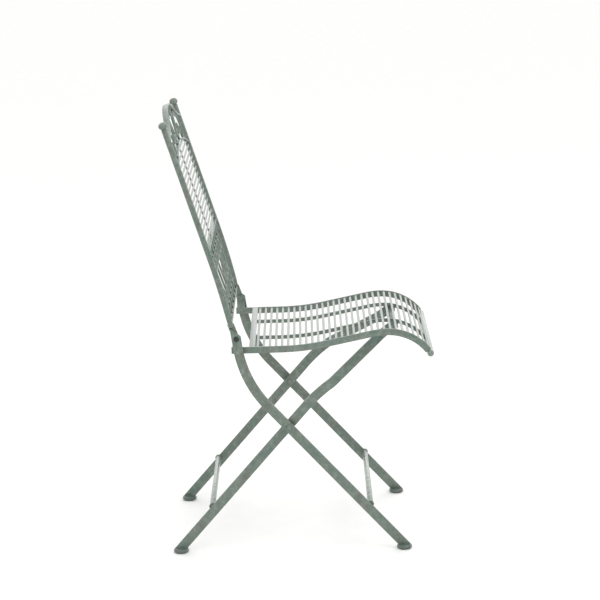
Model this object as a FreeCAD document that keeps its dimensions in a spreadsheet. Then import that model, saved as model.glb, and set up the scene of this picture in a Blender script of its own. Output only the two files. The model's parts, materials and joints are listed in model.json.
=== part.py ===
import FreeCAD, Part
import math
import os

# Folding garden chair of painted wrought iron, in millimetres.
# +Z is up, the sitter faces -Y and +X is the sitter's left. The origin is on the floor,
# under the middle of the open chair.
# Three bodies move: the frame (front legs and back), the rear legs and the seat.

os.makedirs("parts", exist_ok=True)
doc = FreeCAD.newDocument("FoldingChair")
Vector = FreeCAD.Vector
Placement = FreeCAD.Placement
Rotation = FreeCAD.Rotation

# ---------------------------------------------------------------- driving dimensions
SIZES = [
    # overall
    ("outer_width", 382.4, "outer faces of the two front legs"),
    ("foot_spread", 480.0, "front feet to rear feet, centre to centre"),
    ("cross_height", 277.0, "height of the leg crossing pivot"),
    ("seat_pivot_height", 472.4, "height of the seat pivot"),
    ("back_height", 917.0, "height of the upright's top end, under the finial"),
    # legs
    ("leg_width", 20.0, "flat bar, seen from the side"),
    ("leg_thickness", 5.0, "flat bar"),
    ("leg_gap", 8.0, "front leg to rear leg at the crossing"),
    ("front_leg_straight", 64.0, "straight stretch above the crossing"),
    ("front_leg_bend_radius", 240.0, "bend up to the seat pivot"),
    ("front_leg_top_lean", 7.5, "degrees from vertical at the top"),
    ("front_leg_top_reach", 25.0, "leg end above the seat pivot"),
    ("front_leg_top_slant", 20.0, "leg end lower at its front edge"),
    ("rear_leg_straight", 58.0, "straight stretch above the crossing"),
    ("rear_leg_bend_radius", 300.0, "gentle forward bend"),
    ("rear_leg_bend_turn", 12.5, "degrees"),
    ("rear_leg_joggle_radius", 25.0, "the leg turns in under the seat"),
    ("rear_leg_top_straight", 20.5, "leg back in line before the catch rod"),
    ("crossbar_diameter", 12.0, "round bar"),
    ("crossbar_height", 100.0, "centre above the floor"),
    ("crossbar_offset", 8.0, "outward from the leg's middle line"),
    ("foot_diameter", 33.0, "turned foot"),
    ("foot_height", 9.0, "turned foot"),
    ("foot_edge_radius", 3.0, "rounded rim"),
    ("foot_chamfer", 1.0, "lower rim"),
    # rivets
    ("rivet_diameter", 8.0, "pivot rivets"),
    ("rivet_clearance", 0.05, "radial, in the moving bar"),
    ("rivet_head_diameter", 12.0, "domed head"),
    ("rivet_head_height", 3.6, "domed head"),
    ("side_play", 0.2, "between faces that turn on each other"),
    ("washer_diameter", 16.0, "spacers and washers"),
    ("seat_washer_gap", 1.0, "upright tongue to seat lug"),
    # back
    ("upright_diameter", 12.0, "round bar"),
    ("upright_gap", 2.5, "front leg's end to the start of the round bar"),
    ("upright_set_back", 4.5, "round bar behind the line through the seat pivot"),
    ("upright_lean_low", 12.0, "degrees from vertical over the seat"),
    ("upright_bend_radius", 1720.0, "slow bend of the upright"),
    ("upright_bend_turn", 5.0, "degrees"),
    ("tongue_width", 14.0, "forged flat end of the upright"),
    ("tongue_root", 6.0, "tongue inside the round bar"),
    ("finial_diameter", 19.0, "ball on the upright"),
    ("finial_height", 15.4, "ball on the upright, over its collar"),
    ("finial_collar_height", 2.0, "collar under the ball"),
    ("finial_collar_lip", 0.8, "collar past the upright"),
    ("crest_width", 12.0, "crest band, front to back"),
    ("crest_thickness", 4.0, "crest band"),
    ("crest_drop", 22.5, "crest joint below the upright's top end"),
    ("crest_dome_radius", 195.0, "arch of the crest"),
    ("crest_dome_turn", 26.0, "half of the arch, degrees"),
    ("crest_flare_end", 7.5, "slope where the crest meets the upright"),
    ("band_width", 8.0, "slat arch and lower bands, front to back"),
    ("arch_drop", 86.0, "slat arch joint below the upright's top end"),
    ("arch_rise", 31.5, "slat arch"),
    ("arch_thickness", 3.0, "slat arch and lower bands"),
    ("slat_sill_height", 658.8, "band under the slats, above the floor"),
    ("bottom_rail_height", 502.0, "bottom rail of the back, above the floor"),
    ("slat_pitch", 12.85, "back and seat slats"),
    ("slat_width", 5.2, "back and seat slats"),
    ("slat_thickness", 2.4, "back and seat slats"),
    ("centre_bar_width", 7.0, "bar behind the back slats"),
    ("scroll_width", 4.5, "scrolled strip, front to back"),
    ("scroll_thickness", 3.0, "scrolled strip"),
    ("ring_diameter", 22.0, "rings between the scrolls and the rails"),
    ("s_scroll_tilt", 30.0, "middle of an S scroll from upright, degrees"),
    ("c_scroll_tilt", 70.0, "middle of a C scroll from upright, degrees"),
    ("lower_scroll_gap", 1.0, "between the S scrolls of the lower panel"),
    ("crest_scroll_offset", 33.0, "S scroll of the crest, from the middle"),
    ("crest_curl_offset", 104.0, "C scroll of the crest, from the middle"),
    # seat
    ("rail_depth", 14.0, "seat rail, flat bar on edge"),
    ("rail_thickness", 5.0, "seat rail"),
    ("rail_rear_reach", 11.5, "rail end behind the pivot"),
    ("rail_lug_radius", 9.0, "round end of the rail's pivot lug"),
    ("rail_drop", 19.9, "rail top below the pivot"),
    ("rail_level_length", 93.0, "level stretch ahead of the pivot"),
    ("seat_rise_angle", 11.0, "degrees"),
    ("seat_dip_radius", 500.0, "hollow of the seat"),
    ("seat_rise_length", 96.0, "straight slope up to the crest"),
    ("seat_crest_radius", 180.0, "start of the front roll"),
    ("seat_roll_radius", 115.0, "front roll"),
    ("seat_roll_turn", 53.0, "degrees"),
    ("seat_rod_diameter", 14.0, "front rod"),
    ("seat_rod_overhang", 3.0, "front rod past each rail"),
    ("slat_recess", 1.2, "slat top below the rail top"),
    ("rear_strip_width", 12.5, "wide strip at the back of the seat"),
    ("rear_strip_thickness", 3.0, "wide strip at the back of the seat"),
    ("rear_strip_start", 26.0, "strip edge ahead of the pivot"),
    ("rear_strip_gap", 2.7, "wide strip to the first slat"),
    ("front_slat_gap", 4.2, "last slat's middle to the rails' front ends"),
    ("support_spacing", 145.0, "support bars, centre to centre"),
    ("support_thickness", 4.0, "support bar"),
    ("support_depth", 8.0, "support bar"),
    ("catch_rod_diameter", 10.0, "rod that carries the seat"),
    ("catch_rod_clearance", 0.3, "rod below the support bars"),
    ("catch_leg_gap", 3.0, "support bar to rear leg"),
    ("catch_leg_end", 8.0, "rear leg's end past the catch rod"),
    ("hook_width", 6.0, "hook in front of the catch rod"),
    ("hook_thickness", 4.0, "hook"),
    ("hook_clearance", 0.6, "hook to catch rod"),
    ("hook_turn", 34.0, "degrees round the rod"),
    ("hook_tip", 5.0, "straight tip"),
    ("hook_lap", 4.0, "hook up the side of its support bar"),
]

sheet = doc.addObject("Spreadsheet::Sheet", "Sizes")
for row, (alias, value, note) in enumerate(SIZES, start=1):
    sheet.set("A%d" % row, alias)
    sheet.set("B%d" % row, str(value))
    sheet.setAlias("B%d" % row, alias)
    sheet.set("C%d" % row, note)
doc.recompute()


def size(alias):
    return float(sheet.get(alias))


PARTS = []


def keep(part, name):
    part.Label = name
    PARTS.append(part)
    return part


# ---------------------------------------------------------------- plane paths
# A path is a start point, a heading in degrees and runs. A run is (length, 0) for a straight
# stretch or (radius, turn) for a tangent arc, with a left turn positive.
# In the side plane the first coordinate is Y (to the rear) and the second is Z.


def direction(heading):
    angle = math.radians(heading)
    return Vector(math.cos(angle), math.sin(angle), 0)


def runLength(run):
    measure, turn = run
    return measure if turn == 0 else measure * math.radians(abs(turn))


def advance(point, heading, run, share=1.0):
    measure, turn = run
    if turn == 0:
        return point + direction(heading) * measure * share, heading
    side = 90 if turn > 0 else -90
    centre = point + direction(heading + side) * measure
    reached = heading + turn * share
    return centre - direction(reached + side) * measure, reached


def walk(path, distance):
    point, heading, runs = path
    for run in runs:
        length = runLength(run)
        if distance <= length:
            return advance(point, heading, run, distance / length)
        distance -= length
        point, heading = advance(point, heading, run)
    return point + direction(heading) * distance, heading


def pathLength(path):
    return sum(runLength(run) for run in path[2])


def shifted(path, left):
    """The parallel path, moved to the left of its heading."""
    point, heading, runs = path
    moved = []
    for measure, turn in runs:
        if turn > 0:
            measure -= left
        if turn < 0:
            measure += left
        moved.append((measure, turn))
    return (point + direction(heading + 90) * left, heading, moved)


def pathEdges(path):
    point, heading, runs = path
    edges = []
    for run in runs:
        end, reached = advance(point, heading, run)
        if run[1] == 0:
            edges.append(Part.LineSegment(point, end))
        else:
            middle = advance(point, heading, run, 0.5)[0]
            edges.append(Part.Arc(point, middle, end))
        point, heading = end, reached
    return edges


def slideStart(path, level):
    """Starts the first straight run of a path at a given height."""
    point, heading, runs = path
    rise = (level - point.y) / math.sin(math.radians(heading))
    first = (runs[0][0] - rise, 0)
    return (point + direction(heading) * rise, heading, [first] + runs[1:])


def shortened(path, length):
    """Takes a length off a path's last straight run."""
    point, heading, runs = path
    last = (runs[-1][0] - length, 0)
    return (point, heading, runs[:-1] + [last])


def bandOutline(path, thickness, level=None, slant=0):
    """Closed outline of a strip along a path; level cuts its start flat, slant its end askew."""
    left = shifted(path, thickness / 2)
    right = shifted(path, -thickness / 2)
    if level is not None:
        left = slideStart(left, level)
        right = slideStart(right, level)
    if slant:
        left = shortened(left, slant)
    left_end = walk(left, pathLength(left))[0]
    right_end = walk(right, pathLength(right))[0]
    caps = [Part.LineSegment(left_end, right_end), Part.LineSegment(left[0], right[0])]
    return pathEdges(left) + pathEdges(right) + caps


def circle(centre, radius):
    return Part.Circle(Vector(centre.x, centre.y, 0), Vector(0, 0, 1), radius)


# ---------------------------------------------------------------- feature helpers


def originPlane(body, role):
    for feature in body.Origin.OriginFeatures:
        if feature.Role == role:
            return feature
    raise ValueError(role)


def newSketch(body, role, geometry, offset=None):
    sketch = body.newObject("Sketcher::SketchObject", body.Name + "_sketch")
    sketch.AttachmentSupport = (originPlane(body, role), [""])
    sketch.MapMode = "FlatFace"
    if offset is not None:
        sketch.AttachmentOffset = offset
    sketch.addGeometry(geometry, False)
    return sketch


def addPad(body, sketch, alias, symmetric=False, reverse=False):
    pad = body.newObject("PartDesign::Pad", body.Name + "_pad")
    pad.Profile = sketch
    pad.setExpression("Length", "Sizes." + alias)
    pad.SideType = "Symmetric" if symmetric else "One side"
    pad.Reversed = reverse
    return pad


def sideBar(name, inner, side, alias, geometry):
    """Flat bar cut in the side plane, its inner face at a distance from the middle."""
    body = doc.addObject("PartDesign::Body", name)
    sketch = newSketch(body, "YZ_Plane", geometry)
    addPad(body, sketch, alias, reverse=(side < 0))
    body.Placement = Placement(Vector(side * inner, 0, 0), Rotation())
    return keep(body, name)


def crossRod(name, diameter_alias, length, y, z):
    """Round bar across the chair, centred."""
    rod = doc.addObject("Part::Cylinder", name)
    rod.setExpression("Radius", "Sizes." + diameter_alias + " / 2")
    rod.Height = length
    rod.Placement = Placement(Vector(-length / 2, y, z), Rotation(Vector(0, 1, 0), 90))
    return keep(rod, name)


def revolved(name, profile, placement):
    """Turned piece: a closed half profile about the sketch's upright axis."""
    body = doc.addObject("PartDesign::Body", name)
    sketch = newSketch(body, "XZ_Plane", profile)
    turned = body.newObject("PartDesign::Revolution", name + "_turned")
    turned.Profile = sketch
    turned.ReferenceAxis = (sketch, ["V_Axis"])
    turned.Angle = 360
    body.Placement = placement
    return keep(body, name)


def panelBand(name, placement, outline, alias="band_width"):
    """Strip of the back: an outline in the panel's plane, given depth front to back."""
    body = doc.addObject("PartDesign::Body", name)
    sketch = newSketch(body, "XZ_Plane", outline)
    addPad(body, sketch, alias, symmetric=True)
    body.Placement = placement
    return keep(body, name)


def group(name, solids):
    """Several like solids in one node."""
    part = doc.addObject("Part::Feature", name)
    part.Shape = Part.makeCompound(solids)
    return keep(part, name)


SIDES = (("left", 1), ("right", -1))

# ---------------------------------------------------------------- layout of the side view
leg_width = size("leg_width")
leg_thickness = size("leg_thickness")
half_width = size("outer_width") / 2
cross_point = Vector(0, size("cross_height"), 0)
foot_y = size("foot_spread") / 2
leg_lean = math.degrees(math.atan2(foot_y, size("cross_height") - size("foot_height")))
leg_stretch = math.hypot(foot_y, size("cross_height") - size("foot_height"))

front_leg_x = half_width - leg_thickness
rear_leg_x = front_leg_x - size("leg_gap") - leg_thickness
upright_x = front_leg_x + leg_thickness / 2
panel_half = upright_x - size("upright_diameter") / 2
tongue_x = panel_half
rail_x = tongue_x - size("seat_washer_gap") - size("rail_thickness")

# The front leg runs from the front foot, at -Y, up and back to the seat pivot.
top_turn = leg_lean - size("front_leg_top_lean")
front_runs = [
    (leg_stretch + size("front_leg_straight"), 0),
    (size("front_leg_bend_radius"), top_turn),
]
front_start = Vector(-foot_y, size("foot_height"), 0)
front_path = (front_start, 90 - leg_lean, front_runs)
bend_end, top_heading = walk(front_path, pathLength(front_path))
top_length = (size("seat_pivot_height") - bend_end.y) / math.sin(math.radians(top_heading))
seat_pivot = bend_end + direction(top_heading) * top_length
front_runs.append((top_length + size("front_leg_top_reach"), 0))

# The rear leg crosses it, bends forward and then turns in under the seat.
rear_start = Vector(foot_y, size("foot_height"), 0)
rear_runs = [
    (leg_stretch + size("rear_leg_straight"), 0),
    (size("rear_leg_bend_radius"), size("rear_leg_bend_turn")),
]
rear_path = (rear_start, 90 + leg_lean, rear_runs)
knee, knee_heading = walk(rear_path, pathLength(rear_path))

# Top line of the seat, from its rear end to the front rod; its left side is underneath.
seat_start = seat_pivot + Vector(size("rail_rear_reach"), -size("rail_drop"), 0)
rise = size("seat_rise_angle")
seat_path = (
    seat_start,
    180.0,
    [
        (size("rail_rear_reach") + size("rail_level_length"), 0),
        (size("seat_dip_radius"), -rise),
        (size("seat_rise_length"), 0),
        (size("seat_crest_radius"), rise),
        (size("seat_roll_radius"), size("seat_roll_turn")),
    ],
)
slat_line = shifted(seat_path, size("slat_recess") + size("slat_thickness") / 2)
support_top = size("slat_recess") + size("slat_thickness")
support_line = shifted(seat_path, support_top + size("support_depth") / 2)
rail_line = shifted(seat_path, size("rail_depth") / 2)


def catchReach():
    """Length along the rear leg's heading from the knee to the rod under the support bars."""
    wanted = support_top + size("support_depth") + size("catch_rod_clearance")
    wanted += size("catch_rod_diameter") / 2
    seat_wire = Part.Wire([edge.toShape() for edge in pathEdges(seat_path)])

    def above(reach):
        return seat_wire.distToShape(Part.Vertex(knee + direction(knee_heading) * reach))[0] - wanted

    far = 0.0
    while above(far) > 0:
        far += 1.0
    near = far - 1.0
    while far - near > 1e-6:
        middle = (near + far) / 2
        if above(middle) > 0:
            near = middle
        else:
            far = middle
    return far


catch_reach = catchReach()
catch_point = knee + direction(knee_heading) * catch_reach

# The upright starts above the front leg's end, a little behind the seat pivot.
upright_heading = 90 - size("upright_lean_low")
upright_reach = size("front_leg_top_reach") + size("upright_gap")
upright_start = seat_pivot + direction(upright_heading) * upright_reach
upright_start += direction(upright_heading - 90) * size("upright_set_back")
upright_arc = (size("upright_bend_radius"), -size("upright_bend_turn"))
arc_end, back_heading = advance(upright_start, upright_heading, upright_arc)
back_length = (size("back_height") - arc_end.y) / math.sin(math.radians(back_heading))
upright_path = (upright_start, upright_heading, [upright_arc, (back_length, 0)])
upright_top = walk(upright_path, pathLength(upright_path))[0]


def backPlacement(drop):
    """Frame of the back's straight upper panel: X across, local Z up the back."""
    point = upright_top - direction(back_heading) * drop
    return Placement(Vector(0, point.x, point.y), Rotation(Vector(1, 0, 0), back_heading - 90))


# ---------------------------------------------------------------- frame: front legs


def frontLeg(name, side):
    holes = [circle(cross_point, size("rivet_diameter") / 2)]
    holes.append(circle(seat_pivot, size("rivet_diameter") / 2))
    outline = bandOutline(front_path, leg_width, level=size("foot_height"),
                          slant=size("front_leg_top_slant"))
    sideBar(name, front_leg_x, side, "leg_thickness", outline + holes)


def foot(name, x, y):
    radius = size("foot_diameter") / 2
    height = size("foot_height")
    edge = size("foot_edge_radius")
    chamfer = size("foot_chamfer")
    bend = edge * (1 - math.sqrt(0.5))
    profile = [
        Part.LineSegment(Vector(0, 0, 0), Vector(radius - chamfer, 0, 0)),
        Part.LineSegment(Vector(radius - chamfer, 0, 0), Vector(radius, chamfer, 0)),
        Part.LineSegment(Vector(radius, chamfer, 0), Vector(radius, height - edge, 0)),
        Part.Arc(Vector(radius, height - edge, 0), Vector(radius - bend, height - bend, 0),
                 Vector(radius - edge, height, 0)),
        Part.LineSegment(Vector(radius - edge, height, 0), Vector(0, height, 0)),
        Part.LineSegment(Vector(0, height, 0), Vector(0, 0, 0)),
    ]
    revolved(name, profile, Placement(Vector(x, y, 0), Rotation()))


def crossbarCentre(heading):
    """Point on the outer side of a leg's lower stretch, at crossbar height."""
    outward = direction(heading + 90) if heading < 90 else direction(heading - 90)
    offset = outward * size("crossbar_offset")
    line_start = front_start if heading < 90 else rear_start
    rise = size("crossbar_height") - line_start.y - offset.y
    along = rise / math.sin(math.radians(heading))
    return line_start + direction(heading) * along + offset


for word, side in SIDES:
    frontLeg("front_leg_" + word, side)
    foot("front_foot_" + word, side * (front_leg_x + leg_thickness / 2), -foot_y)

front_bar = crossbarCentre(90 - leg_lean)
crossRod("front_crossbar", "crossbar_diameter", 2 * front_leg_x, front_bar.x, front_bar.y)

# ---------------------------------------------------------------- frame: uprights


def upright(name, side):
    """Round bar with its lower end forged into a flat tongue that lies on the front leg,
    flush with the bar's inner side."""
    body = doc.addObject("PartDesign::Body", name)
    radius = size("upright_diameter") / 2
    spine = newSketch(body, "YZ_Plane", pathEdges(upright_path))
    tilt = Rotation(Vector(1, 0, 0), size("upright_lean_low") * -1)
    start = Placement(Vector(0, upright_start.x, upright_start.y), tilt)
    profile = newSketch(body, "XY_Plane", [circle(Vector(0, 0, 0), radius)], start)
    pipe = body.newObject("PartDesign::AdditivePipe", name + "_bar")
    pipe.Profile = profile
    pipe.Spine = (spine, ["Edge1", "Edge2"])
    half = size("tongue_width") / 2
    along = direction(upright_heading)
    across = direction(upright_heading + 90)
    top = upright_start + along * size("tongue_root")
    outline = [
        Part.LineSegment(seat_pivot + across * half, top + across * half),
        Part.LineSegment(top + across * half, top - across * half),
        Part.LineSegment(top - across * half, seat_pivot - across * half),
        Part.Arc(seat_pivot - across * half, seat_pivot - along * half, seat_pivot + across * half),
        circle(seat_pivot, size("rivet_diameter") / 2),
    ]
    inner = side * (tongue_x - upright_x)
    flat = newSketch(body, "YZ_Plane", outline, Placement(Vector(0, 0, inner), Rotation()))
    pad = addPad(body, flat, "leg_thickness", reverse=(side < 0))
    pad.setExpression("Length", "(Sizes.upright_diameter - Sizes.leg_thickness) / 2")
    body.Placement = Placement(Vector(side * upright_x, 0, 0), Rotation())
    keep(body, name)


def finial(name, side):
    """Ball with a flattened crown on a short collar."""
    neck = size("upright_diameter") / 2
    radius = size("finial_diameter") / 2
    collar = size("finial_collar_height")
    waist = neck - size("finial_collar_lip")
    rim = neck + size("finial_collar_lip")
    centre = collar + math.sqrt(radius ** 2 - waist ** 2)
    crown = collar + size("finial_height")
    crown_radius = math.sqrt(radius ** 2 - (crown - centre) ** 2)
    profile = [
        Part.LineSegment(Vector(0, 0, 0), Vector(rim, 0, 0)),
        Part.LineSegment(Vector(rim, 0, 0), Vector(waist, collar, 0)),
        Part.Arc(Vector(waist, collar, 0), Vector(radius, centre, 0), Vector(crown_radius, crown, 0)),
        Part.LineSegment(Vector(crown_radius, crown, 0), Vector(0, crown, 0)),
        Part.LineSegment(Vector(0, crown, 0), Vector(0, 0, 0)),
    ]
    top = Vector(side * upright_x, upright_top.x, upright_top.y)
    revolved(name, profile, Placement(top, Rotation(Vector(1, 0, 0), back_heading - 90)))


for word, side in SIDES:
    upright("upright_" + word, side)
    finial("finial_" + word, side)

# ---------------------------------------------------------------- frame: back panel


def crestPath():
    """Arch with flared ends between the uprights."""
    dome = size("crest_dome_radius")
    turn = size("crest_dome_turn")
    end = size("crest_flare_end")
    reach = panel_half - dome * math.sin(math.radians(turn))
    flare = reach / (math.sin(math.radians(turn)) - math.sin(math.radians(end)))
    return (
        Vector(-panel_half, 0, 0),
        end,
        [(flare, turn - end), (dome, -2 * turn), (flare, turn - end)],
    )


def archPath():
    rise = size("arch_rise")
    radius = (panel_half ** 2 + rise ** 2) / (2 * rise)
    turn = math.degrees(math.asin(panel_half / radius))
    return (Vector(-panel_half, 0, 0), turn, [(radius, -2 * turn)])


def archHeight(x):
    """Underside of the slat arch above its joints, at a distance from the middle."""
    radius = archPath()[2][0][0] - size("arch_thickness") / 2
    centre = size("arch_rise") - archPath()[2][0][0]
    return centre + math.sqrt(radius ** 2 - x ** 2)


def archHalfChord(level):
    """Half length of a slat that just fits under the arch at this level."""
    radius = archPath()[2][0][0] - size("arch_thickness") / 2
    centre = size("arch_rise") - archPath()[2][0][0]
    return math.sqrt(max(radius ** 2 - (level - centre) ** 2, 0))


panelBand("crest_band", backPlacement(size("crest_drop")),
          bandOutline(crestPath(), size("crest_thickness")), "crest_width")
panelBand("slat_arch", backPlacement(size("arch_drop")), bandOutline(archPath(), size("arch_thickness")))

sill_drop = (size("back_height") - size("slat_sill_height")) / math.sin(math.radians(back_heading))
panel_height = sill_drop - size("arch_drop")
level_path = (Vector(-panel_half, 0, 0), 0.0, [(2 * panel_half, 0)])
panelBand("slat_sill", backPlacement(sill_drop),
          bandOutline(level_path, size("arch_thickness")))


def backSlats():
    """Flat strips between the uprights; the highest ones end at the arch."""
    thick = size("slat_thickness")
    wide = size("slat_width")
    sill = size("arch_thickness") / 2
    room = panel_height + archHeight(0) - sill
    count = int((room - wide) / size("slat_pitch"))
    margin = (room - (count - 1) * size("slat_pitch")) / 2
    for number in range(count):
        level = sill + margin + number * size("slat_pitch")
        top = level + wide / 2 - panel_height
        half = panel_half
        if top > archHeight(panel_half):
            half = min(half, archHalfChord(top))
        slat = doc.addObject("Part::Box", "back_slat_%02d" % (number + 1))
        slat.Length = 2 * half
        slat.setExpression("Width", "Sizes.slat_thickness")
        slat.setExpression("Height", "Sizes.slat_width")
        corner = Placement(Vector(-half, -thick / 2, level - wide / 2), Rotation())
        slat.Placement = backPlacement(sill_drop).multiply(corner)
        keep(slat, slat.Name)


def centreBar():
    """Upright strip behind the slats, from the sill to the arch."""
    sill = size("arch_thickness") / 2
    bar = doc.addObject("Part::Box", "back_centre_bar")
    bar.setExpression("Length", "Sizes.centre_bar_width")
    bar.setExpression("Width", "Sizes.slat_thickness")
    half = size("centre_bar_width") / 2
    bar.Height = panel_height + archHeight(half) - sill
    corner = Placement(Vector(-half, size("slat_thickness") / 2, sill), Rotation())
    bar.Placement = backPlacement(sill_drop).multiply(corner)
    keep(bar, bar.Name)


backSlats()
centreBar()

# ---------------------------------------------------------------- frame: scrollwork
# Half a scroll runs from its middle outward, as runs of unit size. The other half is the same,
# turned round (S scroll) or mirrored (C scroll). Each scroll is scaled to the room it stands in.

S_HALF = [(30.0, 0), (22.0, 170), (14.0, 170), (8.0, 130)]
C_HALF = [(14.0, 0), (14.0, 170), (8.0, 150)]
SAMPLES = 120


def scrollPath(middle, heading, half_runs, mirrored):
    start, back = middle, heading + 180
    first_half = []
    for measure, turn in half_runs:
        turn_back = -turn if mirrored else turn
        start, back = advance(start, back, (measure, turn_back))
        first_half.insert(0, (measure, -turn_back))
    return (start, back + 180, first_half + half_runs)


def pathPoints(path):
    length = pathLength(path)
    return [walk(path, length * number / SAMPLES)[0] for number in range(SAMPLES + 1)]


def heightAt(points, x):
    """Height of a line of points that runs from left to right, above a given x."""
    for first, second in zip(points, points[1:]):
        if x <= second.x:
            break
    return first.y + (second.y - first.y) * (x - first.x) / (second.x - first.x)


def fittedScroll(x, heading, hand, half_runs, mirrored, floor, ceiling):
    """The largest scroll centred on x between two strips, given by the paths of their faces."""
    half = size("scroll_thickness") / 2
    runs = [(measure, turn * hand) for measure, turn in half_runs]
    unit = pathPoints(scrollPath(Vector(), heading, runs, mirrored))
    across = [point.x for point in unit]
    centre = (min(across) + max(across)) / 2
    floor_points = pathPoints(shifted(floor, half))
    ceiling_points = pathPoints(shifted(ceiling, -half))

    def placed(scale):
        """Height of the scroll's middle when it stands on the floor, and the room above it."""
        middle_x = x - scale * centre
        lift = max(heightAt(floor_points, middle_x + scale * p.x) - scale * p.y for p in unit)
        room = min(heightAt(ceiling_points, middle_x + scale * p.x) - scale * p.y for p in unit) - lift
        return Vector(middle_x, lift, 0), room

    small, large = 0.05, 3.0
    while large - small > 1e-4:
        scale = (small + large) / 2
        if placed(scale)[1] > 0:
            small = scale
        else:
            large = scale
    middle = placed(small)[0]
    return scrollPath(middle, heading, [(m * small, t) for m, t in runs], mirrored)


def lowerPlacement():
    """Frame of the lower panel, between the bottom rail and the slat sill."""
    share = (size("bottom_rail_height") - upright_start.y) / math.sin(math.radians(upright_heading))
    bottom = walk(upright_path, max(share, 0))[0]
    top = upright_top - direction(back_heading) * sill_drop
    lean = math.degrees(math.atan2(top.x - bottom.x, top.y - bottom.y))
    turn = Rotation(Vector(1, 0, 0), -lean)
    return Placement(Vector(0, bottom.x, bottom.y), turn), (top - bottom).Length


lower_frame, lower_height = lowerPlacement()
panelBand("back_bottom_rail", lower_frame, bandOutline(level_path, size("arch_thickness")))


def raised(path, lift):
    return (path[0] + Vector(0, lift, 0), path[1], path[2])


def lowerScrolls():
    """S scrolls between the two rows of rings, mirrored about the middle."""
    inset = size("arch_thickness") / 2 + size("ring_diameter")
    floor = raised(level_path, inset)
    ceiling = raised(level_path, lower_height - inset)

    def scroll(x, hand):
        heading = 90 - size("s_scroll_tilt") * hand
        return fittedScroll(x, heading, hand, S_HALF, False, floor, ceiling)

    across = [point.x for point in pathPoints(scroll(0, 1))]
    pitch = max(across) - min(across) + size("scroll_thickness") + size("lower_scroll_gap")
    count = 2 * int(panel_half / pitch)
    paths = []
    for number in range(count):
        place = number - (count - 1) / 2
        paths.append(scroll(place * pitch, -1 if place < 0 else 1))
    for number, path in enumerate(paths, start=1):
        panelBand("lower_scroll_%d" % number, lower_frame,
                  bandOutline(path, size("scroll_thickness")), "scroll_width")
    return paths


def backRings(paths):
    """Two rows of rings: one ring below and one above each scroll, and one at each upright."""
    outer = size("ring_diameter") / 2
    inner = outer - size("scroll_thickness")
    depth = size("scroll_width")
    first_level = size("arch_thickness") / 2 + outer
    low_places = [min(pathPoints(path), key=lambda point: point.y).x for path in paths]
    high_places = [max(pathPoints(path), key=lambda point: point.y).x for path in paths]
    rings = []
    for level, places in ((first_level, low_places), (lower_height - first_level, high_places)):
        end = panel_half - outer
        if end - max(places) > 2 * outer:
            places = places + [-end, end]
        for x in places:
            base = Vector(x, -depth / 2, level)
            ring = Part.makeCylinder(outer, depth, base, Vector(0, 1, 0))
            rings.append(ring.cut(Part.makeCylinder(inner, depth, base, Vector(0, 1, 0))))
    group("back_rings", rings).Placement = lower_frame


def crestScrolls():
    """An S scroll and a C scroll on each side, between the slat arch and the crest."""
    frame = backPlacement(size("arch_drop"))
    floor = shifted(archPath(), size("arch_thickness") / 2)
    underside = shifted(crestPath(), -size("crest_thickness") / 2)
    ceiling = raised(underside, size("arch_drop") - size("crest_drop"))
    for word, side in SIDES:
        heading = 90 - size("s_scroll_tilt") * side
        path = fittedScroll(side * size("crest_scroll_offset"), heading, side,
                            S_HALF, False, floor, ceiling)
        outline = bandOutline(path, size("scroll_thickness"))
        panelBand("crest_scroll_" + word, frame, outline, "scroll_width")
        heading = 90 + size("c_scroll_tilt") * side
        path = fittedScroll(side * size("crest_curl_offset"), heading, side,
                            C_HALF, True, floor, ceiling)
        outline = bandOutline(path, size("scroll_thickness"))
        panelBand("crest_curl_" + word, frame, outline, "scroll_width")


backRings(lowerScrolls())
crestScrolls()

# ---------------------------------------------------------------- rear legs


def rearLeg(name, side):
    """Flat bar: an upright plane below the knee, then turned inwards and back in line."""
    body = doc.addObject("PartDesign::Body", name)
    bore = size("rivet_diameter") / 2 + size("rivet_clearance")
    outline = bandOutline(rear_path, leg_width, level=size("foot_height"))
    lower = newSketch(body, "YZ_Plane", outline + [circle(cross_point, bore)])
    addPad(body, lower, "leg_thickness", reverse=(side < 0))

    # the turned-in stretch: two like arcs and a straight that gain a length and shift sideways
    radius = size("rear_leg_joggle_radius")
    gained = catch_reach - size("rear_leg_top_straight")
    shift = rear_leg_x + leg_thickness / 2 - catch_leg_x
    straight = math.sqrt(gained ** 2 + shift ** 2 - 4 * radius * shift)
    turn = math.degrees(math.atan2(2 * radius, straight) - math.atan2(2 * radius - shift, gained))
    end = size("rear_leg_top_straight") + size("catch_leg_end")
    runs = [(radius, turn * side), (straight, 0), (radius, -turn * side), (end, 0)]
    middle = side * leg_thickness / 2
    path = (Vector(middle, 0, 0), 90.0, runs)
    offset = Placement(Vector(0, knee.x, knee.y), Rotation(Vector(1, 0, 0), knee_heading))
    upper = newSketch(body, "XY_Plane", bandOutline(path, leg_thickness), offset)
    addPad(body, upper, "leg_width", symmetric=True)

    hole = circle(catch_point, size("catch_rod_diameter") / 2)
    bored = newSketch(body, "YZ_Plane", [hole])
    pocket = body.newObject("PartDesign::Pocket", name + "_rod_hole")
    pocket.Profile = bored
    pocket.Type = "ThroughAll"
    pocket.SideType = "Symmetric"
    body.Placement = Placement(Vector(side * rear_leg_x, 0, 0), Rotation())
    keep(body, name)


support_x = size("support_spacing") / 2
catch_leg_x = support_x + size("support_thickness") / 2 + size("catch_leg_gap") + leg_thickness / 2

for word, side in SIDES:
    rearLeg("rear_leg_" + word, side)
    foot("rear_foot_" + word, side * (rear_leg_x + leg_thickness / 2), foot_y)

rear_bar = crossbarCentre(90 + leg_lean)
crossRod("rear_crossbar", "crossbar_diameter", 2 * rear_leg_x, rear_bar.x, rear_bar.y)
crossRod("catch_rod", "catch_rod_diameter", 2 * catch_leg_x + leg_thickness, catch_point.x, catch_point.y)

# ---------------------------------------------------------------- seat


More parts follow.
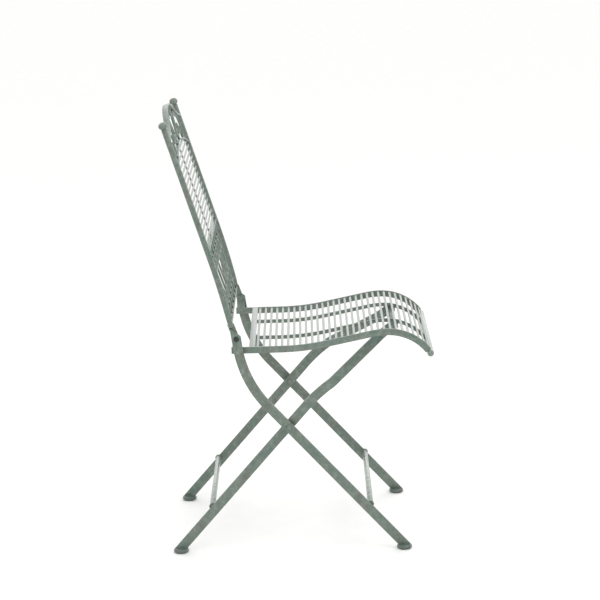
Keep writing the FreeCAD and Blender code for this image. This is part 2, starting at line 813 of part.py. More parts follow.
def seatRail(name, side):
    """Flat bar on edge with a lug at its rear end that carries the pivot."""
    body = doc.addObject("PartDesign::Body", name)
    rail = newSketch(body, "YZ_Plane", bandOutline(rail_line, size("rail_depth")))
    addPad(body, rail, "rail_thickness", reverse=(side < 0))
    reach = size("rail_lug_radius")
    foot_z = seat_pivot.y - size("rail_drop") - size("rail_depth") / 2
    lug = [
        Part.LineSegment(Vector(seat_pivot.x - reach, foot_z, 0), Vector(seat_pivot.x + reach, foot_z, 0)),
        Part.LineSegment(Vector(seat_pivot.x + reach, foot_z, 0), seat_pivot + Vector(reach, 0, 0)),
        Part.Arc(seat_pivot + Vector(reach, 0, 0), seat_pivot + Vector(0, reach, 0),
                 seat_pivot - Vector(reach, 0, 0)),
        Part.LineSegment(seat_pivot - Vector(reach, 0, 0), Vector(seat_pivot.x - reach, foot_z, 0)),
        circle(seat_pivot, size("rivet_diameter") / 2 + size("rivet_clearance")),
    ]
    lug_sketch = newSketch(body, "YZ_Plane", lug)
    addPad(body, lug_sketch, "rail_thickness", reverse=(side < 0))
    body.Placement = Placement(Vector(side * rail_x, 0, 0), Rotation())
    keep(body, name)


for word, side in SIDES:
    seatRail("seat_rail_" + word, side)

# The front rod closes the rails' front ends and stands out past them.
rail_end, rail_end_heading = walk(rail_line, pathLength(rail_line))
rod_radius = size("seat_rod_diameter") / 2
rod_centre = rail_end + direction(rail_end_heading) * rod_radius
rod_half = rail_x + size("rail_thickness") + size("seat_rod_overhang")
crossRod("seat_front_rod", "seat_rod_diameter", 2 * rod_half, rod_centre.x, rod_centre.y)


def acrossSeat(centre, heading, width, thickness):
    """Flat strip between the rails, its top turned to follow the seat."""
    strip = Part.makeBox(2 * rail_x, width, thickness, Vector(-rail_x, -width / 2, -thickness / 2))
    turn = Rotation(Vector(1, 0, 0), heading - 180)
    strip.Placement = Placement(Vector(0, centre.x, centre.y), turn)
    return strip


def seatSlats():
    first = size("rail_rear_reach") + size("rear_strip_start") + size("rear_strip_width")
    first += size("rear_strip_gap") + size("slat_width") / 2
    last = pathLength(slat_line) - size("front_slat_gap")
    count = 1 + int((last - first) / size("slat_pitch"))
    slats = []
    for number in range(count):
        centre, heading = walk(slat_line, first + number * size("slat_pitch"))
        slats.append(acrossSeat(centre, heading, size("slat_width"), size("slat_thickness")))
    group("seat_slats", slats)


def rearStrip():
    half = size("rear_strip_thickness") / 2
    line = shifted(seat_path, half)
    distance = size("rail_rear_reach") + size("rear_strip_start") + size("rear_strip_width") / 2
    centre = walk(line, distance)[0]
    strip = doc.addObject("Part::Box", "seat_rear_strip")
    strip.Length = 2 * rail_x
    strip.setExpression("Width", "Sizes.rear_strip_width")
    strip.setExpression("Height", "Sizes.rear_strip_thickness")
    corner = Vector(-rail_x, centre.x - size("rear_strip_width") / 2, centre.y - half)
    strip.Placement = Placement(corner, Rotation())
    keep(strip, strip.Name)


def supportBar(name, side):
    """Bar on edge under the slats, from the wide rear strip to the front rod."""
    skip = size("rail_rear_reach") + size("rear_strip_start")
    start, heading = walk(support_line, skip)
    level_run = (support_line[2][0][0] - skip, 0)
    path = (start, heading, [level_run] + support_line[2][1:])
    half = size("support_thickness") / 2
    sideBar(name, support_x - half, side, "support_thickness",
            bandOutline(path, size("support_depth")))


def hook(name, side):
    """Hook on the inner face of a support bar, in front of and partly under the catch rod."""
    radius = size("catch_rod_diameter") / 2 + size("hook_clearance") + size("hook_width") / 2
    neck = Vector(catch_point.x - radius, catch_point.y, 0)
    height = size("catch_rod_diameter") / 2 + size("catch_rod_clearance") + size("hook_lap")
    path = (neck + Vector(0, height, 0), 270.0,
            [(height, 0), (radius, size("hook_turn")), (size("hook_tip"), 0)])
    inner = support_x - size("support_thickness") / 2 - size("hook_thickness")
    sideBar(name, inner, side, "hook_thickness", bandOutline(path, size("hook_width")))


seatSlats()
rearStrip()
for word, side in SIDES:
    supportBar("seat_support_bar_" + word, side)
    hook("seat_hook_" + word, side)

# ---------------------------------------------------------------- rivets and washers


def rivetSolid(inner, side, centre):
    """Shank from the outer face of the front leg to an inner face, with two domed heads."""
    outer = half_width
    shank = size("rivet_diameter") / 2
    head = size("rivet_head_diameter") / 2
    dome = size("rivet_head_height")
    bulge = (head ** 2 + dome ** 2) / (2 * dome)
    middle = math.asin(head / bulge) / 2
    half_out = bulge * math.sin(middle)
    half_up = dome - bulge * (1 - math.cos(middle))
    outline = [
        Part.Arc(Vector(inner - dome, 0, 0), Vector(inner - half_up, half_out, 0), Vector(inner, head, 0)),
        Part.LineSegment(Vector(inner, head, 0), Vector(inner, shank, 0)),
        Part.LineSegment(Vector(inner, shank, 0), Vector(outer, shank, 0)),
        Part.LineSegment(Vector(outer, shank, 0), Vector(outer, head, 0)),
        Part.Arc(Vector(outer, head, 0), Vector(outer + half_up, half_out, 0), Vector(outer + dome, 0, 0)),
        Part.LineSegment(Vector(outer + dome, 0, 0), Vector(inner - dome, 0, 0)),
    ]
    face = Part.Face(Part.Wire([edge.toShape() for edge in outline]))
    solid = face.revolve(Vector(0, 0, 0), Vector(1, 0, 0), 360)
    turn = Rotation(Vector(0, 0, 1), 0 if side > 0 else 180)
    solid.Placement = Placement(Vector(0, centre.x, centre.y), turn)
    return solid


def washerSolid(inner, outer, side, centre):
    ring = Part.makeCylinder(size("washer_diameter") / 2, outer - inner)
    ring = ring.cut(Part.makeCylinder(size("rivet_diameter") / 2, outer - inner))
    turn = Rotation(Vector(0, 1, 0), 90)
    x = inner if side > 0 else -outer
    ring.Placement = Placement(Vector(x, centre.x, centre.y), turn)
    return ring


play = size("side_play")
group("cross_rivets", [rivetSolid(rear_leg_x - play, side, cross_point) for word, side in SIDES])
group("seat_pivot_rivets", [rivetSolid(rail_x - play, side, seat_pivot) for word, side in SIDES])
group("cross_spacers",
      [washerSolid(rear_leg_x + leg_thickness + play, front_leg_x, side, cross_point)
       for word, side in SIDES])
group("seat_pivot_washers",
      [washerSolid(rail_x + size("rail_thickness") + play, tongue_x, side, seat_pivot)
       for word, side in SIDES])

# ---------------------------------------------------------------- check, centre and write
doc.recompute()
for item in doc.Objects:
    for state in item.State:
        if state in ("Invalid", "Error"):
            raise RuntimeError("%s: %s" % (item.Label, state))
for part in PARTS:
    if part.Shape.isNull() or not part.Shape.isValid() or not part.Shape.Solids:
        raise RuntimeError("%s has no valid solid" % part.Label)

box = FreeCAD.BoundBox()
for part in PARTS:
    box.add(part.Shape.BoundBox)
shift = -box.Center.y
for part in PARTS:
    place = part.Placement
    part.Placement = Placement(place.Base + Vector(0, shift, 0), place.Rotation)
doc.recompute()

for part in PARTS:
    part.Shape.exportStep("parts/%s.step" % part.Label)

print("nodes", len(PARTS), "length %.1f width %.1f height %.1f" % (box.YLength, box.XLength, box.ZLength))
print("floor", round(box.ZMin, 3))
print("cross pivot y %.4f z %.4f" % (cross_point.x + shift, cross_point.y))
print("seat pivot y %.4f z %.4f" % (seat_pivot.x + shift, seat_pivot.y))
print("catch reach", round(catch_reach, 2))
print("catch rod y %.4f z %.4f" % (catch_point.x + shift, catch_point.y))
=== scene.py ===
import bpy
import bmesh
import json
import math
from mathutils import Matrix, Vector

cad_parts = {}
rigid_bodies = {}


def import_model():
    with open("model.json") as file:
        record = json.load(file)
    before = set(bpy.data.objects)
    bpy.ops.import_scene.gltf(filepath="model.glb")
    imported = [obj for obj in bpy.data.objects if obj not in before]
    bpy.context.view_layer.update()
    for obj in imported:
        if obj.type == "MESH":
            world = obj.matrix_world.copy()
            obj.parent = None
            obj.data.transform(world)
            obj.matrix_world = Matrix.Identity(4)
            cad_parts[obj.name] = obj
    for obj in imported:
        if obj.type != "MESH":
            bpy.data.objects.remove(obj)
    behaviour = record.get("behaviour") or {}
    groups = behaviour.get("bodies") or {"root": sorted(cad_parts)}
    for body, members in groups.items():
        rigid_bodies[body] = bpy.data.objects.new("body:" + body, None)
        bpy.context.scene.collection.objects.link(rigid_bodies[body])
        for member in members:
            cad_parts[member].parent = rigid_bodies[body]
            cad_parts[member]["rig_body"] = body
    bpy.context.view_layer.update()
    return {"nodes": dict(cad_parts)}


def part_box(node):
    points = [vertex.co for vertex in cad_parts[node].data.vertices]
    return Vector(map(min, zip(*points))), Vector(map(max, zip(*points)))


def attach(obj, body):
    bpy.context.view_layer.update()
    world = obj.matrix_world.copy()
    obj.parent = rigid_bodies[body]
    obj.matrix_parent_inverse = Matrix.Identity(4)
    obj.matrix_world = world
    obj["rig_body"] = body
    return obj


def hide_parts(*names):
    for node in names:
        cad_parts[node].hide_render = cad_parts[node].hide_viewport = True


# Folding garden chair of painted wrought iron. Lengths in the dictionaries are millimetres.
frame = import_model()
scene = bpy.context.scene
print("frame loaded:", len(frame["nodes"]), "nodes")


def mm(length):
    return length / 1000


def srgb(hexColour):
    # sRGB hex to the linear colour that shaders want
    channels = [int(hexColour[i:i + 2], 16) / 255 for i in (1, 3, 5)]
    linear = [c / 12.92 if c <= 0.04045 else ((c + 0.055) / 1.055) ** 2.4 for c in channels]
    return (*linear, 1.0)


def addNode(tree, kind, settings=(), links=()):
    # one node with its settings, and its inputs set to values or linked to sockets
    node = tree.nodes.new(kind)
    for name, value in dict(settings).items():
        setattr(node, name, value)
    for name, value in dict(links).items():
        if isinstance(value, bpy.types.NodeSocket):
            tree.links.new(value, node.inputs[name])
        else:
            node.inputs[name].default_value = value
    return node


def setStops(rampNode, stops):
    # stops are (position, hex colour)
    stops = list(stops)
    ramp = rampNode.color_ramp
    while len(ramp.elements) < len(stops):
        ramp.elements.new(0.5)
    for element, (position, hexColour) in zip(ramp.elements, stops):
        element.position = position
        element.color = srgb(hexColour)


def newMaterial(name):
    material = bpy.data.materials.new(name)
    material.use_nodes = True
    tree = material.node_tree
    tree.nodes.clear()
    output = addNode(tree, "ShaderNodeOutputMaterial")
    surface = addNode(tree, "ShaderNodeBsdfPrincipled")
    tree.links.new(surface.outputs["BSDF"], output.inputs["Surface"])
    return material, tree, surface


# what every enamel here shares: the noise, edge and corner values at which each layer starts
# and is full, and how strongly it shows
film = {
    "tonePlaces": (0.34, 0.5, 0.66), "speckFrom": 0.3, "speckTo": 0.7,
    "washFrom": 0.46, "washFull": 0.66,
    "edgeFrom": 0.995, "edgeFull": 0.90,
    "chipFade": 0.02, "chipAmount": 0.8, "chipDulling": 0.2, "chipPit": 0.15, "chipPitStrength": 0.6,
    "openCorner": 0.85, "closedCorner": 0.25,
    "glossFrom": 0.3, "glossTo": 0.7, "glossier": 0.07, "duller": 0.09,
}


# Hand-brushed antique enamel on forged iron: a satin film, cloudy grey-green with a pale
# wash rubbed over it, thin on the edges, with painted shade darkening the corners, never quite level.
def brushedEnamel(name, look):
    material, tree, surface = newMaterial(name)
    place = addNode(tree, "ShaderNodeTexCoord").outputs["Object"]
    stretched = addNode(tree, "ShaderNodeMapping", {}, {"Vector": place, "Scale": look["brushStretch"]})

    clouds = addNode(tree, "ShaderNodeTexNoise", {}, {
        "Vector": place, "Scale": 1 / mm(look["cloudSize"]), "Detail": 4.0, "Roughness": 0.6})
    tones = addNode(tree, "ShaderNodeValToRGB", {}, {"Fac": clouds.outputs["Fac"]})
    threeTones = (look["warmTone"], look["midTone"], look["coolTone"])
    setStops(tones, zip(film["tonePlaces"], threeTones))

    brush = addNode(tree, "ShaderNodeTexNoise", {}, {
        "Vector": stretched.outputs["Vector"], "Scale": 1 / mm(look["brushSize"]),
        "Detail": 3.0, "Roughness": 0.65})
    specks = addNode(tree, "ShaderNodeMapRange", {}, {
        "Value": brush.outputs["Fac"], "From Min": film["speckFrom"], "From Max": film["speckTo"],
        "To Min": 1 - look["speckDepth"], "To Max": 1 + look["speckDepth"]})
    specked = addNode(tree, "ShaderNodeHueSaturation", {}, {
        "Color": tones.outputs["Color"], "Value": specks.outputs["Result"]})

    rub = addNode(tree, "ShaderNodeTexNoise", {}, {
        "Vector": stretched.outputs["Vector"], "Scale": 1 / mm(look["washSize"]),
        "Detail": 5.0, "Roughness": 0.7, "Distortion": 0.4})
    rubbed = addNode(tree, "ShaderNodeMapRange", {}, {
        "Value": rub.outputs["Fac"], "From Min": film["washFrom"], "From Max": film["washFull"],
        "To Min": 0.0, "To Max": look["washAmount"]})
    washed = addNode(tree, "ShaderNodeMix", {"data_type": "RGBA"}, {
        "Factor": rubbed.outputs["Result"], 6: specked.outputs["Color"], 7: srgb(look["washTone"])})

    # thin paint on edges: where a rounded normal leaves the flat one
    rounded = addNode(tree, "ShaderNodeBevel", {"samples": 4}, {"Radius": mm(look["edgeWidth"])})
    normal = addNode(tree, "ShaderNodeNewGeometry").outputs["Normal"]
    likeness = addNode(tree, "ShaderNodeVectorMath", {"operation": "DOT_PRODUCT"}, {
        0: rounded.outputs["Normal"], 1: normal})
    edge = addNode(tree, "ShaderNodeMapRange", {}, {
        "Value": likeness.outputs["Value"],
        "From Min": film["edgeFrom"], "From Max": film["edgeFull"],
        "To Min": 0.0, "To Max": 1.0})
    brokenEdge = addNode(tree, "ShaderNodeMath", {"operation": "MULTIPLY"}, {
        0: edge.outputs["Result"], 1: rub.outputs["Fac"]})
    edgeAmount = addNode(tree, "ShaderNodeMath", {"operation": "MULTIPLY", "use_clamp": True}, {
        0: brokenEdge.outputs["Value"], 1: look["edgeAmount"]})
    edged = addNode(tree, "ShaderNodeMix", {"data_type": "RGBA"}, {
        "Factor": edgeAmount.outputs["Value"], 6: washed.outputs[2], 7: srgb(look["edgeTone"])})

    # chips down to the iron, a few millimetres across
    flakes = addNode(tree, "ShaderNodeTexNoise", {}, {
        "Vector": place, "Scale": 1 / mm(look["chipSize"]), "Detail": 2.0})
    chips = addNode(tree, "ShaderNodeMapRange", {}, {
        "Value": flakes.outputs["Fac"],
        "From Min": look["chipStart"], "From Max": look["chipStart"] + film["chipFade"],
        "To Min": 0.0, "To Max": film["chipAmount"]})
    chipped = addNode(tree, "ShaderNodeMix", {"data_type": "RGBA"}, {
        "Factor": chips.outputs["Result"], 6: edged.outputs[2], 7: srgb(look["ironTone"])})

    # painted shade: ambient occlusion darkens the colour towards a dark tone where pieces meet
    corner = addNode(tree, "ShaderNodeAmbientOcclusion", {"samples": 6}, {
        "Distance": mm(look["cornerShadeReach"])})
    cornerShade = addNode(tree, "ShaderNodeMapRange", {}, {
        "Value": corner.outputs["AO"],
        "From Min": film["closedCorner"], "From Max": film["openCorner"],
        "To Min": look["cornerShadeAmount"], "To Max": 0.0})
    cornerShaded = addNode(tree, "ShaderNodeMix", {"data_type": "RGBA"}, {
        "Factor": cornerShade.outputs["Result"], 6: chipped.outputs[2], 7: srgb(look["cornerShadeTone"])})
    tree.links.new(cornerShaded.outputs[2], surface.inputs["Base Color"])

    gloss = addNode(tree, "ShaderNodeMapRange", {}, {
        "Value": rub.outputs["Fac"], "From Min": film["glossFrom"], "From Max": film["glossTo"],
        "To Min": look["roughness"] - film["glossier"], "To Max": look["roughness"] + film["duller"]})
    dulled = addNode(tree, "ShaderNodeMath", {"operation": "MULTIPLY_ADD"}, {
        0: chips.outputs["Result"], 1: film["chipDulling"], 2: gloss.outputs["Result"]})
    tree.links.new(dulled.outputs["Value"], surface.inputs["Roughness"])
    surface.inputs["IOR"].default_value = look["ior"]
    surface.inputs["Coat Weight"].default_value = look["varnish"]
    surface.inputs["Coat Roughness"].default_value = look["varnishRoughness"]

    # hammer marks under the film, then its brush strokes, then the pits of the chips
    hammer = addNode(tree, "ShaderNodeTexNoise", {}, {
        "Vector": place, "Scale": 1 / mm(look["hammerSize"]), "Detail": 1.0})
    dents = addNode(tree, "ShaderNodeBump", {}, {
        "Height": hammer.outputs["Fac"], "Strength": 1.0, "Distance": mm(look["hammerDepth"])})
    strokes = addNode(tree, "ShaderNodeBump", {}, {
        "Height": brush.outputs["Fac"], "Strength": 1.0, "Distance": mm(look["filmDepth"]),
        "Normal": dents.outputs["Normal"]})
    pitted = addNode(tree, "ShaderNodeBump", {"invert": True}, {
        "Height": chips.outputs["Result"], "Strength": film["chipPitStrength"],
        "Distance": mm(film["chipPit"]), "Normal": strokes.outputs["Normal"]})
    tree.links.new(pitted.outputs["Normal"], surface.inputs["Normal"])
    return material


frameLook = {
    "warmTone": "#646a60", "midTone": "#67756b", "coolTone": "#586f64",
    "washTone": "#959e96", "washAmount": 0.46, "washSize": 11.0,
    "edgeTone": "#9aa198", "edgeAmount": 0.9, "edgeWidth": 0.9,
    "ironTone": "#33312d", "chipSize": 3.2, "chipStart": 0.735,
    # painted shade in the corners: its dark tone, its strength and the ambient occlusion reach
    "cornerShadeTone": "#3f463f", "cornerShadeAmount": 0.4, "cornerShadeReach": 5.0,
    "cloudSize": 34.0, "brushSize": 1.7, "brushStretch": (1.0, 1.0, 1.0), "speckDepth": 0.16,
    "hammerSize": 8.0, "hammerDepth": 0.35, "filmDepth": 0.10,
    "roughness": 0.36, "ior": 1.5, "varnish": 0.15, "varnishRoughness": 0.25,
}
# the slats and the seat's rear strip: the frame's enamel made paler, a painted sheen that stands for the
# white room's reflection on their grazing faces
paintedSheenSlatLook = dict(
    frameLook, warmTone="#81837c", midTone="#7f867f", coolTone="#778179", washTone="#a9aca6",
    washAmount=0.5, cloudSize=26.0, brushStretch=(0.12, 1.0, 1.0), brushSize=1.3,
    washSize=9.0, hammerSize=11.0, hammerDepth=0.22, chipStart=0.75, cornerShadeReach=3.0, cornerShadeAmount=0.2)
# the round rods and the back's bottom rail: the frame's enamel made paler, a painted sheen that stands
# for the room's reflection on these lit bars
paintedSheenRodLook = dict(
    frameLook, warmTone="#7d837a", midTone="#7c877e", coolTone="#738279", washTone="#a6ada5",
    washAmount=0.5, roughness=0.3, varnish=0.3, varnishRoughness=0.2, hammerDepth=0.2)
# the feet's enamel, with a wider reach for the painted shade in the corners
footLook = dict(
    frameLook, warmTone="#5a6056", midTone="#5a675f", coolTone="#51625a", washTone="#7d867f",
    washAmount=0.35, edgeAmount=0.7, chipStart=0.70, cornerShadeReach=9.0, roughness=0.45)
weldLook = dict(
    frameLook, midTone="#6d7a71", washAmount=0.3, cloudSize=6.0, brushSize=0.8, speckDepth=0.22,
    hammerSize=2.5, hammerDepth=0.25, edgeAmount=0.0, roughness=0.48)

frameEnamel = brushedEnamel("brushedGreenEnamelOnFlatIron", frameLook)
paintedSheenSlatEnamel = brushedEnamel("brushedEnamelPaintedPaleForSheenOnStripIron", paintedSheenSlatLook)
paintedSheenRodEnamel = brushedEnamel("enamelPaintedPaleForSheenOnRoundRod", paintedSheenRodLook)
footEnamel = brushedEnamel("scuffedGreenEnamelOnTurnedFeet", footLook)
weldEnamel = brushedEnamel("enamelOverWeldBeads", weldLook)


# Blackened rivet iron: dark fire scale with the green paint worn down to a film in the dents.
def blackenedRivetIron(look):
    material, tree, surface = newMaterial("blackenedRivetIron")
    place = addNode(tree, "ShaderNodeTexCoord").outputs["Object"]
    scale = addNode(tree, "ShaderNodeTexNoise", {}, {
        "Vector": place, "Scale": 1 / mm(look["scaleSize"]), "Detail": 5.0, "Roughness": 0.65})
    tones = addNode(tree, "ShaderNodeValToRGB", {}, {"Fac": scale.outputs["Fac"]})
    threeTones = (look["darkTone"], look["midTone"], look["paintTone"])
    setStops(tones, zip(look["tonePlaces"], threeTones))
    # the inner heads and shanks kept the frame's paint
    reach = addNode(tree, "ShaderNodeMath", {"operation": "ABSOLUTE"}, {
        0: addNode(tree, "ShaderNodeSeparateXYZ", {}, {"Vector": place}).outputs["X"]})
    kept = addNode(tree, "ShaderNodeMapRange", {}, {
        "Value": reach.outputs["Value"],
        "From Min": mm(look["bareFrom"] - look["bareFade"]), "From Max": mm(look["bareFrom"]),
        "To Min": 1.0, "To Max": 0.0})
    painted = addNode(tree, "ShaderNodeMix", {"data_type": "RGBA"}, {
        "Factor": kept.outputs["Result"], 6: tones.outputs["Color"], 7: srgb(look["keptTone"])})
    tree.links.new(painted.outputs[2], surface.inputs["Base Color"])
    shine = addNode(tree, "ShaderNodeMapRange", {}, {
        "Value": scale.outputs["Fac"], "From Min": look["shineFrom"], "From Max": look["shineTo"],
        "To Min": look["roughness"] - look["shinier"], "To Max": look["roughness"] + look["duller"]})
    tree.links.new(shine.outputs["Result"], surface.inputs["Roughness"])
    surface.inputs["Metallic"].default_value = look["metallic"]
    blows = addNode(tree, "ShaderNodeTexVoronoi", {"feature": "SMOOTH_F1"}, {
        "Vector": place, "Scale": 1 / mm(look["blowSize"])})
    faceted = addNode(tree, "ShaderNodeBump", {}, {
        "Height": blows.outputs["Distance"], "Strength": look["blowStrength"],
        "Distance": mm(look["blowDepth"])})
    tree.links.new(faceted.outputs["Normal"], surface.inputs["Normal"])
    return material


rivetIron = blackenedRivetIron({
    "darkTone": "#24251f", "midTone": "#33362f", "paintTone": "#55605a",
    "tonePlaces": (0.35, 0.52, 0.64), "scaleSize": 2.2,
    "roughness": 0.5, "shineFrom": 0.35, "shineTo": 0.65, "shinier": 0.1, "duller": 0.12,
    "metallic": 0.35, "blowSize": 3.5, "blowDepth": 0.4, "blowStrength": 0.7,
    "keptTone": "#6d7a71", "bareFrom": 188.0, "bareFade": 1.0,
})
print("finishes made")


def newPiece(name, mesh, body, material, replaced=()):
    # a finished piece at the origin, on its body, standing for its CAD nodes
    piece = bpy.data.objects.new(name, mesh)
    scene.collection.objects.link(piece)
    if material is not None:
        mesh.materials.clear()
        mesh.materials.append(material)
    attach(piece, body)
    if replaced:
        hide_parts(*replaced)
    return piece


joinWithin = mm(0.005)
flatWithin = math.radians(0.5)


def joinedMesh(nodeName):
    # a copy of a CAD node with its loose triangles joined and its flat faces made whole
    joined = bmesh.new()
    joined.from_mesh(frame["nodes"][nodeName].data)
    bmesh.ops.remove_doubles(joined, verts=joined.verts, dist=joinWithin)
    bmesh.ops.dissolve_limit(joined, angle_limit=flatWithin, verts=joined.verts, edges=joined.edges)
    return joined


def looseParts(nodeName):
    # the corners of each separate solid in a node, as lists of points
    joined = joinedMesh(nodeName)
    waiting = set(joined.verts)
    parts = []
    while waiting:
        front = [waiting.pop()]
        found = []
        while front:
            vert = front.pop()
            found.append(vert.co.copy())
            for edge in vert.link_edges:
                other = edge.other_vert(vert)
                if other in waiting:
                    waiting.remove(other)
                    front.append(other)
        parts.append(found)
    joined.free()
    return parts


def middleOf(points):
    low = Vector([min(p[i] for p in points) for i in range(3)])
    high = Vector([max(p[i] for p in points) for i in range(3)])
    return (low + high) / 2


def bodyOf(nodeName):
    return frame["nodes"][nodeName]["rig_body"]


# the back's own directions, from its lowest and highest slat
backSlatNames = sorted(name for name in frame["nodes"] if name.startswith("back_slat_"))
lowSlat = middleOf(looseParts(backSlatNames[0])[0])
highSlat = middleOf(looseParts(backSlatNames[-1])[0])
backUp = (highSlat - lowSlat).normalized()
backLean = math.atan2(backUp.y, backUp.z)
backRear = Vector((0, math.cos(backLean), -math.sin(backLean)))


# bars, bands and scrolls: the forged shapes with their edges broken and rounded
def workedBar(nodeName, work, material=frameEnamel, slotName="frame_paint"):
    joined = joinedMesh(nodeName)
    mesh = bpy.data.meshes.new(nodeName + "_worked")
    joined.to_mesh(mesh)
    joined.free()
    for face in mesh.polygons:
        face.use_smooth = True
    piece = newPiece(nodeName + "_worked", mesh, bodyOf(nodeName), material, [nodeName])
    bevel = piece.modifiers.new("brokenEdges", "BEVEL")
    bevel.width = mm(work["edge"])
    bevel.segments = work["steps"]
    bevel.limit_method = "ANGLE"
    bevel.angle_limit = math.radians(work["sharpFrom"])
    bevel.harden_normals = True
    bevel.miter_outer = "MITER_ARC"
    return piece


legWork = {"edge": 0.9, "steps": 3, "sharpFrom": 40}
bandWork = {"edge": 0.6, "steps": 2, "sharpFrom": 40}
scrollWork = {"edge": 0.55, "steps": 2, "sharpFrom": 40}
roundBarWork = {"edge": 0.5, "steps": 2, "sharpFrom": 40}
rodEndWork = {"edge": 2.2, "steps": 4, "sharpFrom": 40}
smallWork = {"edge": 0.5, "steps": 2, "sharpFrom": 40}
worked = {
    "front_leg_left": legWork, "front_leg_right": legWork,
    "rear_leg_left": legWork, "rear_leg_right": legWork,
    "seat_rail_left": legWork, "seat_rail_right": legWork,
    "upright_left": roundBarWork, "upright_right": roundBarWork,
    "front_crossbar": roundBarWork, "rear_crossbar": roundBarWork, "catch_rod": roundBarWork,
    "seat_front_rod": rodEndWork,
    "crest_band": bandWork, "slat_arch": bandWork, "slat_sill": bandWork, "back_bottom_rail": bandWork,
    "seat_support_bar_left": smallWork, "seat_support_bar_right": smallWork,
    "seat_hook_left": smallWork, "seat_hook_right": smallWork,
    "back_centre_bar": smallWork, "seat_rear_strip": smallWork,
}
for nodeName in sorted(frame["nodes"]):
    if "_scroll_" in nodeName or "_curl_" in nodeName:
        worked[nodeName] = scrollWork
# parts given the paler enamels, whose paleness is painted sheen
rubbed = {
    "front_crossbar": paintedSheenRodEnamel, "rear_crossbar": paintedSheenRodEnamel, "seat_front_rod": paintedSheenRodEnamel,
    "seat_rear_strip": paintedSheenSlatEnamel, "back_bottom_rail": paintedSheenRodEnamel,
}
for nodeName, work in worked.items():
    workedBar(nodeName, work, rubbed.get(nodeName, frameEnamel))
print("bars, bands and scrolls worked:", len(worked))


def pointCloud(name, rows):
    # loose points that carry named values for a Geometry Nodes tree
    mesh = bpy.data.meshes.new(name)
    mesh.from_pydata([row["at"] for row in rows], [], [])
    for key in rows[0]:
        if key != "at":
            layer = mesh.attributes.new(key, "FLOAT", "POINT")
            layer.data.foreach_set("value", [row[key] for row in rows])
    return mesh


def newTree(name, sockets):
    # a Geometry Nodes tree with named inputs; sockets are (label, kind)
    tree = bpy.data.node_groups.new(name, "GeometryNodeTree")
    tree.interface.new_socket("Points", in_out="INPUT", socket_type="NodeSocketGeometry")
    for label, kind in sockets:
        tree.interface.new_socket(label, in_out="INPUT", socket_type="NodeSocket" + kind)
    tree.interface.new_socket("Geometry", in_out="OUTPUT", socket_type="NodeSocketGeometry")
    return tree, addNode(tree, "NodeGroupInput").outputs


def namedValue(tree, name):
    # reads a value that pointCloud put on the points
    reader = addNode(tree, "GeometryNodeInputNamedAttribute", {"data_type": "FLOAT"}, {"Name": name})
    return reader.outputs["Attribute"]


def uneven(tree, geometry, field, keptAxes, amount):
    # moves each vertex by a colour noise centred on nothing, along the kept axes
    centred = addNode(tree, "ShaderNodeVectorMath", {"operation": "SUBTRACT"}, {
        0: field, 1: (0.5, 0.5, 0.5)})
    kept = addNode(tree, "ShaderNodeVectorMath", {"operation": "MULTIPLY"}, {
        0: centred.outputs["Vector"], 1: keptAxes})
    scaled = addNode(tree, "ShaderNodeVectorMath", {"operation": "SCALE"}, {
        0: kept.outputs["Vector"], "Scale": amount})
    moved = addNode(tree, "GeometryNodeSetPosition", {}, {
        "Geometry": geometry, "Offset": scaled.outputs["Vector"]})
    return moved.outputs["Geometry"]


def closeTree(tree, geometry, material):
    realized = addNode(tree, "GeometryNodeRealizeInstances", {}, {"Geometry": geometry})
    smooth = addNode(tree, "GeometryNodeSetShadeSmooth", {}, {"Geometry": realized.outputs["Geometry"]})
    finished = addNode(tree, "GeometryNodeSetMaterial", {}, {
        "Geometry": smooth.outputs["Geometry"], "Material": material})
    addNode(tree, "NodeGroupOutput", {}, {"Geometry": finished.outputs["Geometry"]})


def grown(tree, points, values, name):
    # runs a tree over a point cloud and keeps the result as a plain mesh
    holder = bpy.data.objects.new(name + "_points", points)
    scene.collection.objects.link(holder)
    modifier = holder.modifiers.new(tree.name, "NODES")
    modifier.node_group = tree
    for item in tree.interface.items_tree:
        if item.in_out == "INPUT" and item.name in values:
            modifier[item.identifier] = values[item.name]
    depsgraph = bpy.context.evaluated_depsgraph_get()
    mesh = bpy.data.meshes.new_from_object(holder.evaluated_get(depsgraph), depsgraph=depsgraph)
    mesh.name = name
    bpy.data.objects.remove(holder)
    return mesh


